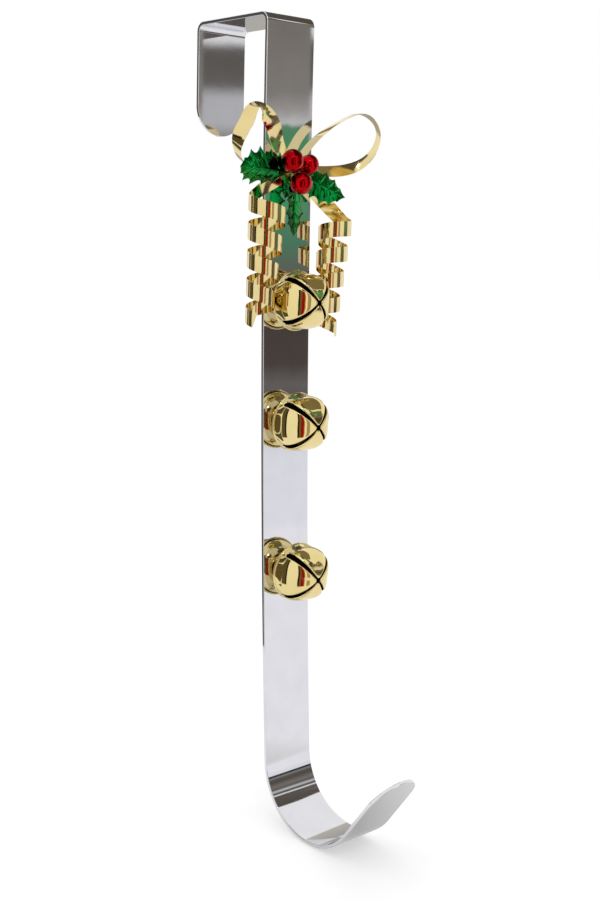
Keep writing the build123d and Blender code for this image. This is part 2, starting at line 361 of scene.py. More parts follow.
berry_red = metal(
    "berry_red",
    dark=(0.24, 0.001, 0.003),
    light=(0.50, 0.003, 0.006),
    rough=(0.05, 0.10),
    scale=300.0,
    bumps=[(200.0, 0.3, 0.3), (1800.0, 0.04, 0.01)],
)
wire_green = metal(
    "wire_green",
    dark=(0.02, 0.12, 0.04),
    light=(0.04, 0.20, 0.07),
    rough=(0.4, 0.55),
    scale=800.0,
    bumps=[(1200.0, 0.3, 0.03)],
)
trim_steel = metal(
    "trim_steel",
    dark=(0.50, 0.50, 0.50),
    light=(0.62, 0.62, 0.62),
    rough=(0.25, 0.4),
    scale=900.0,
    bumps=[(1500.0, 0.2, 0.02)],
)
# Near-black steel for the pellets: painted shade, as they sit in the dark inside of the bells.
pellet_painted_shade = metal(
    "pellet_painted_shade",
    dark=(0.04, 0.038, 0.035),
    light=(0.08, 0.075, 0.07),
    rough=(0.35, 0.5),
    scale=900.0,
    bumps=[(1100.0, 0.2, 0.02)],
)
glue, glue_nodes, glue_links, glue_shader = new_material("glue")
glue_shader.inputs["Roughness"].default_value = 0.45
glue_links.new(
    ramp(
        glue_nodes,
        glue_links,
        noise(glue_nodes, glue_links, 300.0).outputs["Fac"],
        [(0.3, (0.68, 0.66, 0.56)), (0.7, (0.80, 0.78, 0.70))],
    ),
    glue_shader.inputs["Base Color"],
)


# The strip
# Lengths and curvatures of the strip's segments: flange, bend, top, bend, leg, hook and tip
strip_segments = [
    (flange_depth - bend_radius, 0.0),
    (bend_radius * math.pi / 2, 1 / bend_radius),
    (door_gap - 2 * bend_radius, 0.0),
    (bend_radius * math.pi / 2, 1 / bend_radius),
    (leg_back_radius * math.asin(leg_drop / leg_back_radius), -1 / leg_back_radius),
    ((hook_radius + strip_thickness) * math.radians(hook_turn), -1 / (hook_radius + strip_thickness)),
    (hook_straight + strip_width / 2, 0.0),
]
segment_steps = [14, 14, 12, 14, 90, 150, 12]


def strip_path(s):
    """Points, directions and outward normals of the strip's door-side face at distances along it."""
    s = np.asarray(s, float)
    y, z, heading = door_gap / 2, -flange_depth, math.pi / 2
    begin = 0.0
    out_y, out_z, out_h = np.zeros_like(s), np.zeros_like(s), np.zeros_like(s)
    for index, (length, curve) in enumerate(strip_segments):
        last = index == len(strip_segments) - 1
        here = (s >= begin - 1e-9) & ((s < begin + length - 1e-9) | last)
        local = s[here] - begin
        ends = np.append(local, length)
        angle = heading + curve * ends
        if curve:
            ys = y + (np.sin(angle) - math.sin(heading)) / curve
            zs = z - (np.cos(angle) - math.cos(heading)) / curve
        else:
            ys = y + ends * math.cos(heading)
            zs = z + ends * math.sin(heading)
        out_y[here], out_z[here], out_h[here] = ys[:-1], zs[:-1], angle[:-1]
        y, z, heading = ys[-1], zs[-1], angle[-1]
        begin += length
    along = np.stack([np.zeros_like(s), np.cos(out_h), np.sin(out_h)], -1)
    outward = np.stack([np.zeros_like(s), np.sin(out_h), -np.cos(out_h)], -1)
    return np.stack([np.zeros_like(s), out_y, out_z], -1), along, outward, begin


station_margin = 0.5


def make_strip():
    """The bent strip with rounded ends and rounded long edges."""
    total = strip_path([0.0])[3]
    end_radius = (strip_width - end_flat) / 2
    lengths = [length for length, _ in strip_segments[:-1]]
    edges = np.concatenate([[0], np.cumsum(lengths), [total]])
    stations = np.concatenate(
        [np.linspace(edges[i], edges[i + 1], steps + 1)[:-1] for i, steps in enumerate(segment_steps)]
    )
    inner = (stations > end_radius + station_margin) & (stations < total - end_radius - station_margin)
    stations = stations[inner]
    turn = np.radians(np.linspace(0, 90, 37))
    first = end_radius * (1 - np.sin(turn[::-1]))
    s = np.concatenate([first, stations, total - first[::-1]])
    half = np.concatenate(
        [end_radius * np.cos(turn[::-1]), np.full(len(stations), end_radius), end_radius * np.cos(turn)]
    )
    half += end_flat / 2
    across = np.concatenate([np.cos(turn[::-1]), np.ones(len(stations)), np.cos(turn)])
    onward = np.concatenate([-np.sin(turn[::-1]), np.zeros(len(stations)), np.sin(turn)])
    count = len(s)
    levels = []
    for angle in np.radians(np.linspace(90, 0, 6)):
        levels.append((edge_round * (1 - math.cos(angle)), edge_round * (1 - math.sin(angle)), angle, -1))
    for angle in np.radians(np.linspace(0, 90, 6)):
        height = strip_thickness - edge_round * (1 - math.sin(angle))
        levels.append((edge_round * (1 - math.cos(angle)), height, angle, 1))
    points, normals = [], []
    for inset, height, angle, face in levels:
        base, along, outward, _ = strip_path(s - onward * inset)
        for side in (1, -1):
            x = side * (half - across * inset)
            p = base + outward * height
            p[:, 0] = x
            rim = np.stack([side * across, np.zeros(count), np.zeros(count)], -1) + along * onward[:, None]
            n = rim * math.cos(angle) + outward * face * math.sin(angle)
            if side < 0:
                p, n = p[::-1], n[::-1]
            points.append(p)
            normals.append(n)
    faces = grid_faces(len(levels), 2 * count, close_cols=True)
    for start in (0, (len(levels) - 1) * 2 * count):
        for j in range(count - 1):
            a, b = start + j, start + j + 1
            c, d = start + 2 * count - 2 - j, start + 2 * count - 1 - j
            faces.append((a, b, c, d))
    normals = np.concatenate(normals)
    return make_object("strip_chrome", np.concatenate(points), faces, [chrome], normals=normals)


strip = make_strip()
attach(strip, "root")
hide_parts("hanger_strip")


# Bells
def bell_table(steps=46, count=700):
    """Radii and heights of the front shell from pole to rim, a row per angle from a petal's middle."""
    radii, heights = [], []
    for angle in np.radians(np.linspace(0, 45, steps)):
        near_slit = math.sin(2 * angle) ** 2
        reach = petal_radius + (slit_radius - petal_radius) * near_slit
        fullness = petal_fullness + (slit_fullness - petal_fullness) * near_slit
        climb = np.radians(np.linspace(90, 0, 500))
        r = reach * np.cos(climb).clip(0) ** (2 / fullness)
        h = bell_middle + (bell_front - bell_middle) * np.sin(climb).clip(0) ** (2 / fullness)
        share = np.linspace(1, 0, 80)[1:]
        r = np.append(r, rim_radius + (reach - rim_radius) * np.sin(share * math.pi / 2))
        h = np.append(h, rim_height + (bell_middle - rim_height) * share)
        run = np.concatenate([[0], np.cumsum(np.hypot(np.diff(r), np.diff(h)))])
        at = np.linspace(0, run[-1], count)
        radii.append(np.interp(at, run, r))
        heights.append(np.interp(at, run, h))
    return np.array(radii), np.array(heights)


def look_up(table, angle, share):
    """Values of a table at angles (0 to 45 degrees) and shares of the way from the pole to the rim."""
    row = (np.abs(angle) / slit_angle).clip(0, 1) * (table.shape[0] - 1)
    col = share.clip(0, 1) * (table.shape[1] - 1)
    i, j = np.minimum(row.astype(int), table.shape[0] - 2), np.minimum(col.astype(int), table.shape[1] - 2)
    u, v = row - i, col - j
    low = table[i, j] * (1 - v) + table[i, j + 1] * v
    high = table[i + 1, j] * (1 - v) + table[i + 1, j + 1] * v
    return low * (1 - u) + high * u


bell_radii, bell_heights = bell_table()


def make_front_shell(name, seat):
    """Four petals with rolled edges, and the bead round their rim."""
    rows, cols = 84, 33
    slope_r = np.gradient(bell_radii, axis=1)
    slope_h = np.gradient(bell_heights, axis=1)
    length = np.hypot(slope_r, slope_h)
    share = np.linspace(0, 1, rows)[:, None]
    place = np.sin(np.linspace(-math.pi / 2, math.pi / 2, cols))[None, :]
    psi = place * slit_angle * np.ones((rows, cols))
    table_share = np.linspace(0, 1, bell_radii.shape[1])
    for _ in range(12):
        begin = np.interp(pole_hole / np.cos(psi[0]), bell_radii[0], table_share)[None, :]
        run = begin * (1 - share) + share
        r = look_up(bell_radii, psi, run)
        h = look_up(bell_heights, psi, run)
        half = slit_at_pole + (slit_at_rim - slit_at_pole) * (r / slit_radius).clip(0, 1)
        below = ((slit_start - h) / slit_at_rim).clip(0, 1)
        half = np.where(h < slit_start, slit_at_rim * np.sqrt(1 - below**2), half)
        psi = place * (slit_angle - np.arcsin((half / r).clip(0, 0.9)))
    nr = look_up(-slope_h / length, psi, run)
    nh = look_up(slope_r / length, psi, run)
    aside = r * np.sin(slit_angle - np.abs(psi))
    gap = np.where(h < slit_start, np.hypot(aside, slit_start - h) - slit_at_rim, aside - half)
    gap = np.minimum(gap, r * np.cos(psi) - pole_hole).clip(0)
    near = (lip_radius - gap).clip(0)
    dip = lip_radius - np.sqrt(lip_radius**2 - near**2)
    dip *= ((h - rim_height) / lip_fade).clip(0, 1)
    rr, hh = r - nr * dip, h - nh * dip
    points, faces = [], []
    for quarter in range(4):
        turn = psi + quarter * math.pi / 2
        faces += grid_faces(rows, cols, start=len(points) * rows * cols)
        points.append(np.stack([rr * np.cos(turn), rr * np.sin(turn), hh], -1).reshape(-1, 3))
    points = to_world(seat, np.concatenate(points))
    shell = make_object(f"{name}_front", points, faces, [bell_gold, bell_inside_painted_shade], merge=0.004)
    # The wall's inside and its slit edges take the second material, near black: painted shade inside the
    # bell.
    add_solidify(shell, bell_wall, -1.0, 1)
    bead_turn = np.linspace(0, 2 * math.pi, 97)[:-1]
    bead_ring = np.linspace(0, 2 * math.pi, 17)[:-1]
    ring_r = rim_radius + bead_radius * np.cos(bead_ring)[None, :]
    ring_h = rim_height + bead_radius * np.sin(bead_ring)[None, :] + 0 * bead_turn[:, None]
    ring = np.stack([ring_r * np.cos(bead_turn)[:, None], ring_r * np.sin(bead_turn)[:, None], ring_h], -1)
    ring = to_world(seat, ring.reshape(-1, 3))
    bead = make_object(f"{name}_bead", ring, grid_faces(96, 16, True, True), [bell_gold])
    return shell, bead


def lathe(name, seat, profile, material, segments=96, sharp=None):
    """A profile of (radius, height) turned about a seat's axis."""
    profile = np.asarray(profile, float)
    turn = np.linspace(0, 2 * math.pi, segments + 1)[:-1]
    points = np.stack(
        [
            profile[None, :, 0] * np.cos(turn)[:, None],
            profile[None, :, 0] * np.sin(turn)[:, None],
            profile[None, :, 1] + 0 * turn[:, None],
        ],
        -1,
    )
    faces = grid_faces(segments, len(profile), close_rows=True)
    return make_object(name, to_world(seat, points.reshape(-1, 3)), faces, [material], sharp=sharp)


def make_rear_shell(name, seat):
    """The bell's back half, its inside painted near black as shade."""
    outer = rim_radius - bell_wall - collar_clearance
    profile = [(rivet_bore, seat_clearance)]
    for angle in np.radians(np.linspace(-90, 0, 28)):
        across = seat_radius + (outer - seat_radius) * math.cos(angle)
        profile.append((across, rim_height + (rim_height - seat_clearance) * math.sin(angle)))
    profile += [(outer, rim_height + collar_length), (outer - bell_wall, rim_height + collar_length)]
    first_inside = len(profile) - 2
    for angle in np.radians(np.linspace(0, -90, 28)):
        across = seat_radius + (outer - seat_radius - bell_wall) * math.cos(angle)
        profile.append((across, rim_height + (rim_height - seat_clearance - bell_wall) * math.sin(angle)))
    profile += [(rivet_bore, seat_clearance + bell_wall), (rivet_bore, seat_clearance)]
    shell = lathe(f"{name}_rear", seat, profile, bell_gold, sharp=40)
    shell.data.materials.append(bell_inside_painted_shade)
    for face in shell.data.polygons:
        if face.index % (len(profile) - 1) >= first_inside:
            face.material_index = 1
    return shell


for name, bell in bells.items():
    seat = bell_seat(bell)
    front, bead = make_front_shell(f"{name}_bell", seat)
    rear = make_rear_shell(f"{name}_bell", seat)
    for piece in (front, bead, rear):
        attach(piece, "root")
    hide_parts(f"{name}_bell_front_shell")
    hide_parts(f"{name}_bell_front_shell")
    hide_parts(f"{name}_bell_rear_shell")


# Ribbon bow
right_loop_points = [
    (1.0, -27.5, -58.5),
    (9.3, -29.7, -48.0),
    (22.0, -33.2, -39.0),
    (32.4, -34.2, -36.3),
    (40.3, -35.1, -42.0),
    (38.9, -34.2, -51.1),
    (30.9, -31.3, -58.0),
    (17.2, -28.6, -60.5),
    (2.0, -27.5, -60.6),
]
right_loop_widths = [
    (0.19, 0.98, 0.10),
    (0.20, 0.97, 0.11),
    (0.23, 0.97, -0.03),
    (0.19, 0.98, 0.08),
    (0.46, 0.88, 0.15),
    (0.31, 0.93, 0.17),
    (0.12, 0.80, 0.58),
    (0.12, 0.69, 0.71),
    (0.12, 0.81, 0.57),
]
left_loop_points = [
    (-1.5, -27.5, -58.8),
    (-10.7, -29.4, -50.2),
    (-14.5, -31.1, -44.2),
    (-20.3, -33.3, -39.8),
    (-23.3, -33.8, -37.7),
    (-27.1, -34.3, -37.5),
    (-30.9, -35.0, -42.6),
    (-34.5, -34.7, -48.9),
    (-34.4, -33.0, -54.7),
    (-26.1, -29.9, -60.4),
    (-14.0, -28.6, -61.2),
    (-2.0, -27.7, -60.6),
]
left_loop_widths = [
    (0.94, 0.34, -0.05),
    (1.00, 0.04, 0.02),
    (0.68, -0.36, 0.50),
    (0.61, -0.03, 0.79),
    (0.20, 0.65, 0.73),
    (-0.20, 0.95, 0.20),
    (-0.37, 0.87, 0.31),
    (-0.38, 0.92, 0.12),
    (0.19, 0.97, 0.18),
    (0.16, 0.89, 0.42),
    (0.09, 0.92, 0.38),
    (0.02, 0.93, 0.36),
]
right_curl = {
    "hand": 1,
    "start": (2.1, -26.3, -61.6),
    "leaving": (1.0, 0.0, -0.38),
    "lead_pull": 0.15,
    "start_angle": -6.0,
    "axis_top": (20.6, -31.7, -81.6),
    "axis_bottom": (18.4, -28.5, -126.5),
    "radius_top": 6.7,
    "radius_bottom": 5.3,
    "turns": 4.18,
    "tilt": 0.206,
}
left_curl = {
    "hand": -1,
    "start": (-2.1, -26.6, -61.9),
    "leaving": (-1.0, -0.13, -0.37),
    "lead_pull": 0.36,
    "start_angle": 145.0,
    "axis_top": (-18.0, -33.0, -74.7),
    "axis_bottom": (-20.6, -31.8, -121.8),
    "radius_top": 7.7,
    "radius_bottom": 5.4,
    "turns": 4.19,
    "tilt": 0.03,
}


def loop_frames(points, widths, count=170):
    """Centres, width directions and facing directions along a loop."""
    rows = spline(np.hstack([np.asarray(points), np.asarray(widths)]), count)
    centres, width = rows[:, :3], rows[:, 3:]
    along = np.gradient(centres, axis=0)
    along /= np.linalg.norm(along, axis=1)[:, None]
    width = width - along * np.sum(width * along, axis=1)[:, None]
    width /= np.linalg.norm(width, axis=1)[:, None]
    return centres, width, np.cross(along, width)


def tail_frames(curl):
    """A tail: a lead that leaves the knot, then a helix about a leaning axis."""
    top, bottom = np.array(curl["axis_top"]), np.array(curl["axis_bottom"])
    hand, turns = curl["hand"], curl["turns"]
    share = np.linspace(0, 1, round(turns * 48) + 1)
    angle = math.radians(curl["start_angle"]) - hand * 2 * math.pi * turns * share
    radius = curl["radius_top"] + (curl["radius_bottom"] - curl["radius_top"]) * share
    outward = np.stack([np.cos(angle), np.sin(angle), 0 * angle], -1)
    centres = top + (bottom - top) * share[:, None] + outward * radius[:, None]
    centres[:, 2] -= curl["tilt"] * radius * np.cos(angle)
    start = np.array(curl["start"])
    slope = (bottom - top)[2] / (2 * math.pi * turns * curl["radius_top"])
    slope = slope - hand * curl["tilt"] * outward[0, 1]
    into = unit((hand * outward[0, 1], -hand * outward[0, 0], slope))
    reach = np.linalg.norm(centres[0] - start) * curl["lead_pull"]
    pull = start + unit(curl["leaving"]) * reach
    steer = centres[0] - into * reach
    t = np.linspace(0, 1, 33)[:-1, None]
    lead = start * (1 - t) ** 3 + pull * (3 * t * (1 - t) ** 2)
    lead = lead + steer * (3 * t**2 * (1 - t)) + centres[0] * t**3
    centres = np.concatenate([lead, centres])
    facing = np.concatenate([np.array([0.0, 1.0, 0.0]) * (1 - t) + outward[0] * t, outward])
    along = np.gradient(centres, axis=0)
    along /= np.linalg.norm(along, axis=1)[:, None]
    width = np.cross(facing, along)
    width /= np.linalg.norm(width, axis=1)[:, None]
    return centres, width, np.cross(along, width)


def make_ribbon(name, frames, closed=False):
    """A thin band with a slight bow across its width."""
    centres, width, facing = frames
    across = np.linspace(-1, 1, 7)
    bow = ribbon_crown * (1 - across**2)
    ring = [(a * ribbon_width / 2, b + ribbon_thickness / 2) for a, b in zip(across, bow)]
    ring += [(a * ribbon_width / 2, b - ribbon_thickness / 2) for a, b in zip(across[::-1], bow[::-1])]
    ring = np.array(ring)
    points = centres[:, None, :] + width[:, None, :] * ring[None, :, :1]
    points = points + facing[:, None, :] * ring[None, :, 1:]
    rows, cols = len(centres), len(ring)
    faces = grid_faces(rows, cols, close_rows=closed, close_cols=True)
    if not closed:
        faces.append(tuple(range(cols)))
        faces.append(tuple((rows - 1) * cols + j for j in reversed(range(cols))))
    return make_object(name, points.reshape(-1, 3), faces, [ribbon_gold], sharp=40)


knot_corner = 0.55
# Bands round the knot: a turn about its axis, the way across, the band's own width, its back and its front
knot_bands = {
    "knot_band": (0.0, 6.4, 6.2, 0.1, 5.9),
    "knot_band_low": (0.22, 5.6, 5.4, 0.4, 5.6),
}


def wrap_frames(seat, turn, width, height, low, high):
    """A band that goes round the knot: across it at a turn about its axis, from its back to its front."""
    angle = np.linspace(0, 2 * math.pi, 65)[:-1]
    side = np.sign(np.cos(angle)) * np.abs(np.cos(angle)) ** knot_corner * width / 2
    rise = (low + high) / 2 + np.sign(np.sin(angle)) * np.abs(np.sin(angle)) ** knot_corner * (high - low) / 2
    local = np.stack([-side * math.sin(turn), side * math.cos(turn), rise], -1)
    centres = to_world(seat, local)
    along = np.roll(centres, -1, axis=0) - np.roll(centres, 1, axis=0)
    along /= np.linalg.norm(along, axis=1)[:, None]
    origin, x, y, z = seat
    axis = math.cos(turn) * x + math.sin(turn) * y
    across = np.tile(axis, (len(centres), 1)) * height / ribbon_width
    return centres, across, np.cross(along, axis)


bow_seat = leg_seat(bow_drop)
bands = [
    make_ribbon("right_loop", loop_frames(right_loop_points, right_loop_widths)),
    make_ribbon("left_loop", loop_frames(left_loop_points, left_loop_widths)),
    make_ribbon("right_tail", tail_frames(right_curl)),
    make_ribbon("left_tail", tail_frames(left_curl)),
]
for name, (turn, width, height, low, high) in knot_bands.items():
    frames = wrap_frames(bow_seat, turn, width, height, glue_thickness + low, glue_thickness + high)
    bands.append(make_ribbon(name, frames, True))
bow = join("ribbon_bow_gold", bands)
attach(bow, "root")
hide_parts("ribbon_bow")


# Holly pick
leaves = {
    "left": {
        "tip": (-35.4, -36.0, -61.0),
        "height": 1.0,
        "facing": (0, -0.95, -0.33),
        "fold": 27,
        "size": 1.0,
    },
    "right": {
        "tip": (22.1, -35.0, -71.2),
        "height": 1.5,
        "facing": (0, -0.99, 0.1),
        "fold": 18,
        "size": 0.87,
    },
    "bottom": {
        "tip": (-4.9, -34.0, -87.8),
        "height": 0.4,
        "facing": (-0.66, -0.75, 0),
        "fold": 62,
        "size": 0.87,
    },
}
berries = {
    "upper_left": {"centre": (-9.5, -37.6, -57.8), "radius": 4.75},
    "upper_right": {"centre": (1.2, -35.5, -58.6), "radius": 4.2},
    "lower": {"centre": (-4.1, -37.2, -66.3), "radius": 4.75},
}
origin, seat_x, seat_y, seat_z = bow_seat
pick_seat = (origin + seat_z * (glue_thickness + knot_depth), seat_x, seat_y, seat_z)


def leaf_half_width(x, base, size):
    """The outline's distance from the midrib at distances along the leaf."""
    xs, ys = [0.0, base], [stalk_half_width, stalk_half_width]
    corners = [(0.0, stalk_half_width / size)] + leaf_spines + [(leaf_length, 0.0)]
    for (x0, y0), (xm, ym), (x1, y1) in zip(corners[:-1], leaf_notches, corners[1:]):
        for t in np.linspace(0, 1, 9)[1:]:
            bend_x = 2 * xm - (x0 + x1) / 2
            bend_y = 2 * ym - (y0 + y1) / 2
            xs.append(base + size * ((1 - t) ** 2 * x0 + 2 * t * (1 - t) * bend_x + t**2 * x1))
            ys.append(size * ((1 - t) ** 2 * y0 + 2 * t * (1 - t) * bend_y + t**2 * y1))
    order = np.maximum.accumulate(np.array(xs) + np.arange(len(xs)) * 1e-6)
    return np.interp(x, order, ys), order


def make_leaf(name, leaf):
    """A folded foil leaf with a midrib and a vein to each spine."""
    hub = to_world(pick_seat, [hub_shift, -hub_drop, leaf["height"]])
    tip = np.array(leaf["tip"])
    along = unit(tip - hub)
    facing = np.array(leaf["facing"], float)
    facing = unit(facing - along * facing.dot(along))
    foot = hub + along * (hub_radius + leaf_clearance)
    reach = np.linalg.norm(tip - foot)
    size = leaf["size"]
    base = reach - leaf_length * size
    aside = np.cross(facing, along)
    marks = leaf_half_width(0.0, base, size)[1]
    x = np.unique(np.concatenate([marks, np.linspace(0, reach, 90)]).round(4))
    half = leaf_half_width(x, base, size)[0]
    v = np.linspace(-1, 1, 41)
    y = half[:, None] * v[None, :]
    xx = x[:, None] + 0 * y
    fold = math.radians(leaf["fold"])
    drop = np.sqrt(y**2 + ridge_round**2) - ridge_round
    rise = leaf_belly * np.sin(math.pi * np.abs(v))[None, :] * (half / 8)[:, None]
    for spine_x, spine_y in leaf_spines:
        end = np.array([base + size * spine_x, size * spine_y])
        begin = np.array([end[0] - vein_reach * size, 0.0])
        way = unit(end - begin)
        px, py = xx - begin[0], np.abs(y)
        away = np.abs(px * way[1] - py * way[0])
        ahead = px * way[0] + py * way[1]
        fade = (ahead / 1.5).clip(0, 1) * ((np.linalg.norm(end - begin) - ahead) / 2.5).clip(0, 1)
        rise = rise + vein_height * np.exp(-((away / vein_half_width) ** 2)) * fade
    midrib = midrib_height * np.exp(-((y / midrib_half_width) ** 2))
    points = (
        foot
        + along * xx[..., None]
        + aside * (y * math.cos(fold))[..., None]
        + facing * (-drop * math.sin(fold) + rise * relief_share + midrib)[..., None]
    )
    obj = make_object(name, points.reshape(-1, 3), grid_faces(len(x), len(v)), [leaf_green], merge=0.002)
    add_solidify(obj, foil_thickness, 0.0)
    return obj


for name, leaf in leaves.items():
    obj = make_leaf(f"{name}_leaf_foil", leaf)
    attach(obj, "root")
    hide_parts(f"{name}_leaf")


dent_count = 14
dent_depths = (0.05, 0.22)
dent_widths = (0.25, 0.5)


def make_berry(name, berry, seed):
    """A pressed foil ball with a few soft dents."""
    rows, cols = 48, 72
    theta = np.linspace(0, math.pi, rows)[:, None]
    phi = np.linspace(0, 2 * math.pi, cols + 1)[None, :-1]
    n = np.stack([np.sin(theta) * np.cos(phi), np.sin(theta) * np.sin(phi), np.cos(theta) + 0 * phi], -1)
    rng = np.random.default_rng(seed)
    dent = np.zeros(n.shape[:2])
    for _ in range(dent_count):
        way = unit(rng.normal(size=3))
        depth = rng.uniform(*dent_depths)
        away = np.arccos((n @ way).clip(-1, 1))
        dent += depth * np.exp(-((away / rng.uniform(*dent_widths)) ** 2))
    points = np.array(berry["centre"]) + n * (berry["radius"] - dent)[..., None]
    faces = grid_faces(rows, cols, close_cols=True)
    return make_object(name, points.reshape(-1, 3), faces, [berry_red], merge=0.001)


for seed, (name, berry) in enumerate(berries.items()):
    obj = make_berry(f"{name}_berry_foil", berry, seed + 3)
    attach(obj, "root")
    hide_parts(f"{name}_berry")


# Solids that are shown as they are
for node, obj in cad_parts.items():
    material = None
    if node.endswith("rivet"):
        material = trim_steel
    # the pellets get near-black metal as painted shade inside the bells
    elif node.endswith("pellet"):
        material = pellet_painted_shade
    elif node == "pick_stem":
        material = wire_green
    elif node == "glue_dot":
        material = glue
    if material:
        obj.data.materials.clear()
        obj.data.materials.append(material)


# Stage, lights and camera
def seen_directly(nodes, links, rays):
    """1 for the named rays and 0 for all others."""
    path = nodes.new("ShaderNodeLightPath")
    total = path.outputs[rays[0]]
    for ray in rays[1:]:
        add = nodes.new("ShaderNodeMath")
        add.operation = "ADD"
        add.use_clamp = True
        links.new(total, add.inputs[0])
        links.new(path.outputs[ray], add.inputs[1])
        total = add.outputs[0]
    return total


def card_material(name, zones, ragged, grain):
    """An emission that changes with height: zones are (height in millimetres, colour), lowest first."""
    material = bpy.data.materials.new(name)
    material.use_nodes = True
    nodes, links = material.node_tree.nodes, material.node_tree.links
    nodes.clear()
    shader = nodes.new("ShaderNodeEmission")
    if len(zones) == 1:
        shader.inputs["Color"].default_value = (*zones[0][1], 1)
    else:
        low, high = zones[0][0], zones[-1][0]
        coord = nodes.new("ShaderNodeTexCoord")
        split = nodes.new("ShaderNodeSeparateXYZ")
        links.new(coord.outputs["Object"], split.inputs[0])
        texture = noise(nodes, links, grain, 3.0)
        wobble = spread(nodes, links, texture.outputs["Fac"], -ragged * MM, ragged * MM)
        add = nodes.new("ShaderNodeMath")
        links.new(split.outputs["Z"], add.inputs[0])
        links.new(wobble, add.inputs[1])
        height = nodes.new("ShaderNodeMapRange")
        height.inputs["From Min"].default_value = low * MM
        height.inputs["From Max"].default_value = high * MM
        links.new(add.outputs[0], height.inputs["Value"])
        stops = [((z - low) / (high - low), colour) for z, colour in zones]
        links.new(ramp(nodes, links, height.outputs["Result"], stops), shader.inputs["Color"])
    links.new(shader.outputs["Emission"], nodes.new("ShaderNodeOutputMaterial").inputs["Surface"])
    return material


def flat_sheet(name, corners, material):
    """One flat face with four corners in metres."""
    mesh = bpy.data.meshes.new(name)
    mesh.from_pydata([tuple(c) for c in corners], [], [(0, 1, 2, 3)])
    obj = bpy.data.objects.new(name, mesh)
    bpy.context.scene.collection.objects.link(obj)
    mesh.materials.append(material)
    return obj


def card(name, corners, zones, ragged=0.0, grain=40.0):
    """A coloured reflector beside the object that only mirrors see."""
    obj = flat_sheet(name, corners, card_material(name, zones, ragged, grain))
    obj.visible_camera = False
    obj.visible_diffuse = False
    obj.visible_shadow = False


def upright(first, last, distance, low, high):
    """Corners of an upright card between two azimuths. Azimuth 0 is +X and 90 is +Y."""
    a, b = math.radians(first), math.radians(last)
    left = (math.cos(a) * distance, math.sin(a) * distance)
    right = (math.cos(b) * distance, math.sin(b) * distance)
    return [(*left, low), (*right, low), (*right, high), (*left, high)]


floor_glow = 0.28
floor_gap = 0.0002
floor_reach = 6
# Centre, in metres, of the painted shadow on the floor that mirrors see
painted_shadow_centre = (0.005, -0.085)
soft_light = 0.78

floor_material, floor_nodes, floor_links, floor_shader = new_material("floor")
floor_shader.inputs["Base Color"].default_value = (0.94, 0.94, 0.94, 1)
floor_shader.inputs["Roughness"].default_value = 0.9
glow = floor_nodes.new("ShaderNodeEmission")
glow.inputs["Color"].default_value = (1, 1, 1, 1)
glow_strength = floor_nodes.new("ShaderNodeMath")
glow_strength.operation = "MULTIPLY"
glow_strength.inputs[1].default_value = floor_glow
floor_seen = seen_directly(floor_nodes, floor_links, ["Is Camera Ray", "Is Transmission Ray"])
floor_links.new(floor_seen, glow_strength.inputs[0])
floor_links.new(glow_strength.outputs[0], glow.inputs["Strength"])
floor_sum = floor_nodes.new("ShaderNodeAddShader")
floor_links.new(floor_shader.outputs["BSDF"], floor_sum.inputs[0])
floor_links.new(glow.outputs["Emission"], floor_sum.inputs[1])
# What mirrors see of the floor: white, with a painted shadow that darkens towards the point under the hook.
mirrored_floor_painted_shadow = floor_nodes.new("ShaderNodeEmission")
painted_shadow_distance = floor_nodes.new("ShaderNodeVectorMath")
painted_shadow_distance.operation = "DISTANCE"
painted_shadow_distance.inputs[1].default_value = (*painted_shadow_centre, cad_box[0][2])
floor_links.new(floor_nodes.new("ShaderNodeTexCoord").outputs["Object"], painted_shadow_distance.inputs[0])
floor_links.new(
    ramp(
        floor_nodes,
        floor_links,
        painted_shadow_distance.outputs["Value"],
        [(0.0, (0.48, 0.48, 0.47)), (0.04, (0.80, 0.80, 0.79)), (0.075, (0.98, 0.98, 1.0))],
    ),
    mirrored_floor_painted_shadow.inputs["Color"],
)
floor_mix = floor_nodes.new("ShaderNodeMixShader")
floor_links.new(seen_directly(floor_nodes, floor_links, ["Is Glossy Ray"]), floor_mix.inputs["Fac"])
floor_links.new(floor_sum.outputs["Shader"], floor_mix.inputs[1])
floor_links.new(mirrored_floor_painted_shadow.outputs["Emission"], floor_mix.inputs[2])
floor_links.new(floor_mix.outputs["Shader"], floor_nodes["Material Output"].inputs["Surface"])
floor_z = cad_box[0][2] - floor_gap
floor_corners = [(x * floor_reach, y * floor_reach, floor_z) for x, y in ((-1, -1), (1, -1), (1, 1), (-1, 1))]
flat_sheet("floor", floor_corners, floor_material)

world = bpy.data.worlds.new("studio")
bpy.context.scene.world = world
world.use_nodes = True
wn, wl = world.node_tree.nodes, world.node_tree.links
wn.clear()
soft = wn.new("ShaderNodeBackground")
soft.inputs["Color"].default_value = (1, 1, 1, 1)
soft.inputs["Strength"].default_value = soft_light
seen = wn.new("ShaderNodeBackground")
seen.inputs["Color"].default_value = (1, 1, 1, 1)
seen.inputs["Strength"].default_value = 1.0
mix = wn.new("ShaderNodeMixShader")
wl.new(seen_directly(wn, wl, ["Is Camera Ray", "Is Glossy Ray", "Is Transmission Ray"]), mix.inputs["Fac"])
wl.new(soft.outputs[0], mix.inputs[1])
wl.new(seen.outputs[0], mix.inputs[2])
wl.new(mix.outputs[0], wn.new("ShaderNodeOutputWorld").inputs["Surface"])


# Where the cards stand, in metres
ground = -0.344
near_ring = 0.34

